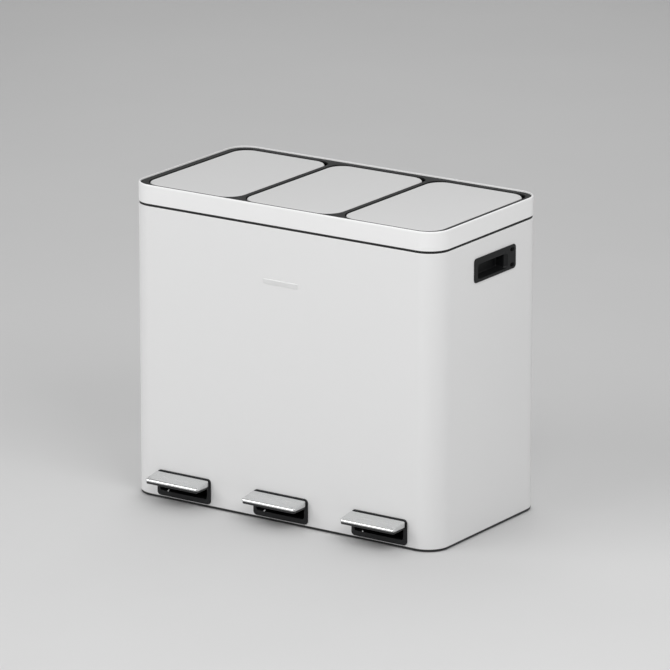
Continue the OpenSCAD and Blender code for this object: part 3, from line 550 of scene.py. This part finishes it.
FRONT = ((1, 0, 0), (0, 0, 1), (0, -1, 0))
BEZEL_R = 6.5
OPENING_R = 4.0
bezel_abs = moulded("satin_black_abs", "#17181a", 0.42, grain_mm=1.5, depth_mm=0.03, specular=0.3)
bezel_h = bezel_high[2] - bezel_low[2]
opening_w = BEZEL_W - 2 * BEZEL_SIDE
opening_h = bezel_h - BEZEL_SILL - BEZEL_TOP
bezel_mid_z = (bezel_low[2] + bezel_high[2]) / 2
opening_shift = (BEZEL_SILL - BEZEL_TOP) / 2
outer_edge, outer_normal = rounded_loop(BEZEL_W, bezel_h, BEZEL_R, arc=8)
opening_edge, opening_normal = rounded_loop(opening_w, opening_h, OPENING_R, arc=8)
opening_edge = opening_edge + [0, opening_shift]
frames = framed_opening(
    (outer_edge, outer_normal), (opening_edge, opening_normal),
    proud=body_low[1] - bezel_low[1], edge=1.0, lip=0.7, depth=bezel_high[1] - body_low[1], wall=COLLAR_T,
)
bezels = sum((face_on(frames, *FRONT, (x, body_low[1], bezel_mid_z)) for x in columns.values()), [])
make_piece("pedal_frames", bezels, bezel_abs, "cabinet", ["pedal_bezels"])


# ---------------------------------------------------------------------------------------------
# Sill screws. A bright pan head screw with a cross recess holds each bezel from its sill, left of
# the pedal's neck; the screws of the side grips have the same head, in blackened steel.
# ---------------------------------------------------------------------------------------------
def brushed(name, colour, roughness, grit_mm, along):
    """Metal drawn or ground in one direction: long fine scratches that streak the gloss and the tone.
    The scratches are about 0.1 mm apart; they are drawn coarser, so that they show."""
    material, shader = new_material(name, colour, roughness, metallic=1.0)
    place = add_node(material, "ShaderNodeTexCoord")
    stretch = [1.0 if axis != along else 0.03 for axis in range(3)]
    grain = add_node(material, "ShaderNodeMapping", {"Scale": stretch}, {"Vector": place.outputs["Object"]})
    streak = add_node(
        material, "ShaderNodeTexNoise", {"Scale": per_metre(grit_mm), "Detail": 4.0, "Roughness": 0.65},
        {"Vector": grain.outputs["Vector"]},
    )
    gloss = add_node(
        material, "ShaderNodeMapRange",
        {"To Min": roughness - 0.08, "To Max": roughness + 0.10}, {"Value": streak.outputs["Fac"]},
    )
    join(material, gloss.outputs["Result"], shader, "Roughness")
    low = np.array(linear(colour)[:3])
    tone = add_node(
        material, "ShaderNodeMix",
        {"data_type": "RGBA", 6: (*(low * 0.88), 1.0), 7: (*(low * 1.06).clip(0, 1), 1.0)},
        {0: streak.outputs["Fac"]},
    )
    join(material, tone.outputs[2], shader, "Base Color")
    bump = add_node(
        material, "ShaderNodeBump", {"Strength": 0.3, "Distance": 0.01 * MM},
        {"Height": streak.outputs["Fac"]},
    )
    join(material, bump.outputs["Normal"], shader, "Normal")
    return material


def screw_head(diameter, height, recess, steps=12, turns=48):
    """A low dome of height * (1 - a fifth of share to the sixth) over a straight edge, with a cross
    pressed in, which is deep where either coordinate is under a tenth of the diameter."""
    share = np.linspace(1, 0, steps + 1)[:, None]
    angle = np.radians(np.linspace(0, 360, turns + 1))[None]
    across = share * np.cos(angle) * diameter / 2
    up = share * np.sin(angle) * diameter / 2
    arm = np.minimum(np.abs(across), np.abs(up)) / (0.1 * diameter)
    reach = np.hypot(across, up) / (0.34 * diameter)
    cross = (1 - np.clip(arm, 0, 1) ** 4) * np.clip((1 - reach) * 5, 0, 1)
    dome = height * (1 - 0.2 * share ** 6) - recess * cross
    foot = np.stack([across[0], up[0], np.zeros(turns + 1)], -1)
    return [np.concatenate([foot[None], np.stack([across, up, dome], -1)]), cap(foot)]


screw_steel = brushed("turned_nickel_plated_steel", "#fbfbfb", 0.14, 0.8, along=0)
screw_low, screw_high = box_mm("sill_screws")
SILL_SCREW_D = 3.6
TOP = ((1, 0, 0), (0, 1, 0), (0, 0, 1))
sill_head = screw_head(SILL_SCREW_D, screw_high[2] - screw_low[2], 0.4)
screws = []
for x in columns.values():
    across = screw_low[0] + SILL_SCREW_D / 2 - min(columns.values())
    screws += face_on(sill_head, *TOP, (x + across, (screw_low[1] + screw_high[1]) / 2, screw_low[2]))
make_piece("sill_screw_heads", screws, screw_steel, "cabinet", ["sill_screws"])


# ---------------------------------------------------------------------------------------------
# Pedals. A tray pressed from satin ground stainless steel, its tread falling to a rounded nose,
# snapped over a black ABS body whose neck runs back through the bezel onto the lever's blade.
# ---------------------------------------------------------------------------------------------
PEDAL_R = (4.0, 3.0, 3.0, 4.0)
NOSE_R = 3.9
SIDE_R = 1.6
PEDAL_FALL = 5.5
NECK_W, NECK_LOW, NECK_TOP = 52.0, 35.3, 44.7
BACK = ((1, 0, 0), (0, 0, 1), (0, 1, 0))
satin_stainless = brushed("satin_ground_stainless_steel", "#dedfdf", 0.24, 1.6, along=0)
pedal_abs = moulded("moulded_black_abs", "#1e1f20", 0.42, grain_mm=1.5, depth_mm=0.03)


def pedal_tread(reach, rear_top, fall, low, loop):
    """Wall, rounded edge and tread of the tray. The tread's height is rear_top less fall * share of the
    reach; the edge's radius goes from SIDE_R where the outline faces aside to NOSE_R at the nose."""
    edge, normal = loop
    nose = np.clip(-normal[:, 1], 0, 1) ** 2
    radius = SIDE_R + (NOSE_R - SIDE_R) * nose
    turn = np.radians(np.linspace(0, 90, 9))[:, None]
    flat = edge[None] - normal[None] * (radius * (1 - np.cos(turn)))[..., None]
    level = rear_top - fall * (reach / 2 - flat[..., 1]) / reach
    height = level - radius * (1 - np.sin(turn))
    rounded = np.dstack([flat, height])
    foot = np.dstack([edge[None], np.full((1, len(edge)), low)])
    return [np.concatenate([foot, rounded]), cap(rounded[-1])]


for side, x in columns.items():
    low, high = box_mm("pedal_cover_" + side)
    width, reach = (high - low)[:2]
    middle = [(low[0] + high[0]) / 2, (low[1] + high[1]) / 2, 0]
    loop = rounded_loop(width, reach, PEDAL_R, arc=10)
    tread = pedal_tread(reach, high[2], PEDAL_FALL, low[2], loop)
    make_piece(
        "pedal_tray_" + side, [grid + middle for grid in tread], satin_stainless, "pedal_" + side,
        ["pedal_cover_" + side], thickness=0.9, sharp=40,
    )

    body_lo, body_hi = box_mm("pedal_body_" + side)
    block = np.concatenate([
        curve(1.15 + 1.4, body_lo[2] + 1.4, 1.4, 270, 180, 5),
        [(1.15, low[2] + 1.6)],
    ])
    wall = sweep(loop, block)
    neck_loop = rounded_loop(NECK_W, NECK_TOP - NECK_LOW, 1.5, arc=4)
    neck_length = body_hi[1] - high[1] + 8
    neck = sweep(neck_loop, np.concatenate([
        [(1.0, 0.0)], curve(1.0, neck_length - 1.0, 1.0, 180, 90, 3),
    ]))
    neck_foot = (x, body_hi[1] - neck_length, (NECK_LOW + NECK_TOP) / 2)
    neck_grids = face_on([neck, cap(neck[0]), cap(neck[-1])], *BACK, neck_foot)
    make_piece(
        "pedal_block_" + side,
        [wall + middle, cap(wall[0]) + middle, cap(wall[-1]) + middle, *neck_grids],
        pedal_abs, "pedal_" + side, ["pedal_body_" + side],
    )


# ---------------------------------------------------------------------------------------------
# Side grips. A black ABS plate with a blind finger recess is let into each side wall and held by
# two screws at its rear end, which sit in small pockets; the hand lifts the bin by the recess.
# ---------------------------------------------------------------------------------------------
grip_abs = moulded("matt_black_abs", "#141516", 0.5, grain_mm=1.5, depth_mm=0.03, specular=0.25)
GRIP_R = 6.0
# The recess narrows at its rear: that wall slopes in over this length and depth, clear of the screws.
SLOPE_L, SLOPE_DEPTH = 5.0, 4.5
# A screw sits in an obround pocket of this length, height and depth.
POCKET_L, POCKET_H, POCKET_DEPTH = 11.0, 6.6, 1.5
grip_l = grip_high[1] - grip_low[1]
grip_h = grip_high[2] - grip_low[2]
grip_mid = (grip_low + grip_high) / 2
plate_edge, plate_normal = rounded_loop(grip_l, grip_h, GRIP_R, arc=8)
recess_edge, recess_normal = rounded_loop(RECESS_L, RECESS_H, RECESS_R, arc=8)
proud = grip_high[0] - body_high[0]
grip_depth = body_high[0] - grip_low[0]
throat_edge, throat_normal = rounded_loop(RECESS_L - SLOPE_L, RECESS_H, RECESS_R - 1, arc=8)
pocket_loop = rounded_loop(POCKET_L, POCKET_H, POCKET_H / 2 - 0.01, arc=8)
pocket_wall = sweep(pocket_loop, [(0, proud - POCKET_DEPTH), (0, proud + 1)])
pocket = [pocket_wall, cap(pocket_wall[0]), cap(pocket_wall[-1])]

black_screw = brushed("blackened_steel_screw", "#0b0b0c", 0.5, 0.8, along=0)
grip_screw_low, grip_screw_high = box_mm("grip_screws")
GRIP_SCREW_D = grip_screw_high[1] - grip_screw_low[1]
grip_screw_y = (grip_screw_low[1] + grip_screw_high[1]) / 2
grip_screw_levels = [grip_screw_low[2] + GRIP_SCREW_D / 2, grip_screw_high[2] - GRIP_SCREW_D / 2]
grip_head = screw_head(GRIP_SCREW_D, 0.9, 0.5)
screws = []
for side, hand in (("left", -1), ("right", 1)):
    outward = ((0, hand, 0), (0, 0, 1), (hand, 0, 0))
    face = hand * body_high[0]
    shift = [hand * (recess_y - grip_mid[1]), -RECESS_LOW]
    narrow = [hand * (recess_y - grip_mid[1] - SLOPE_L / 2), -RECESS_LOW]
    grids = framed_opening(
        (plate_edge, plate_normal), (recess_edge + shift, recess_normal),
        proud=proud, edge=0.9, lip=0.9, depth=grip_depth, wall=CUP_T,
        throat=(throat_edge + narrow, throat_normal), throat_depth=SLOPE_DEPTH,
    )
    grids = face_on(grids, *outward, (face, grip_mid[1], grip_mid[2]))
    pockets = []
    for z in grip_screw_levels:
        pockets += face_on(pocket, *outward, (face, grip_screw_y, z))
        screws += face_on(grip_head, *outward, (face + hand * (proud - POCKET_DEPTH), grip_screw_y, z))
    make_piece(
        "finger_grip_" + side, grids, grip_abs, "cabinet", ["grip_" + side], pockets=pockets
    )
make_piece("grip_screw_heads", screws, black_screw, "cabinet", ["grip_screws"])


# ---------------------------------------------------------------------------------------------
# Nameplate. A thin strip of bright stainless steel glued on the front below the rim. It is blank,
# with small corner radii, a rounded edge and a fine brushed face.
# ---------------------------------------------------------------------------------------------
plate_low, plate_high = box_mm("nameplate")
plate_loop = rounded_loop(plate_high[0] - plate_low[0], plate_high[2] - plate_low[2], 1.0, arc=5)
plate_t = plate_high[1] - plate_low[1]
plate_rows = sweep(plate_loop, np.concatenate([[(0, 0)], curve(0.4, plate_t - 0.4, 0.4, 180, 90, 4)]))
plate_steel = brushed("bright_stainless_steel", "#fbfbfb", 0.5, 1.2, along=0)
plate_grids = face_on(
    [plate_rows, cap(plate_rows[0]), cap(plate_rows[-1])], *FRONT,
    ((plate_low[0] + plate_high[0]) / 2, plate_high[1], (plate_low[2] + plate_high[2]) / 2),
)
make_piece("blank_plate", plate_grids, plate_steel, "cabinet", ["nameplate"])


# ---------------------------------------------------------------------------------------------
# The works inside. Zinc plated steel sheet carries the buckets and the pivots; each pedal's lever
# lifts a flat push rod up the back, and a small air damper beside it slows the lid's fall.
# ---------------------------------------------------------------------------------------------
def zinc_plated(name):
    """Electroplated zinc on mild steel, clear passivated: a cool grey metal with a soft spangle about
    8 mm across, which shifts both its tone and its gloss."""
    material, shader = new_material(name, "#b9bdc1", 0.4, metallic=1.0)
    place = add_node(material, "ShaderNodeTexCoord")
    spangle = add_node(
        material, "ShaderNodeTexVoronoi", {"Scale": per_metre(8)}, {"Vector": place.outputs["Object"]}
    )
    tone = add_node(
        material, "ShaderNodeMix",
        {"data_type": "RGBA", 6: linear("#a9adb2"), 7: linear("#c3c7ca")}, {0: spangle.outputs["Distance"]},
    )
    join(material, tone.outputs[2], shader, "Base Color")
    gloss = add_node(
        material, "ShaderNodeMapRange", {"To Min": 0.32, "To Max": 0.48},
        {"Value": spangle.outputs["Distance"]},
    )
    join(material, gloss.outputs["Result"], shader, "Roughness")
    return material


zinc_steel = zinc_plated("zinc_plated_steel")
drawn_steel = brushed("bright_drawn_steel", "#c9cacc", 0.25, 0.8, along=0)
lever_steel = brushed("zinc_plated_bar", "#a7abae", 0.38, 1.5, along=1)
damper_enamel = moulded("black_enamelled_tube", "#1a1b1d", 0.3, grain_mm=4.0, depth_mm=0.01)
dress(zinc_steel, "bucket_platform", "service_panel", "pivot_brackets", "damper_clamps")
dress(drawn_steel, "pivot_pins")
dress(damper_enamel, "damper_cylinders")
for side in columns:
    dress(lever_steel, "pedal_lever_" + side, "push_rod_" + side)
    dress(drawn_steel, "lever_pin_" + side, "damper_rod_" + side, "lid_pins_" + side)
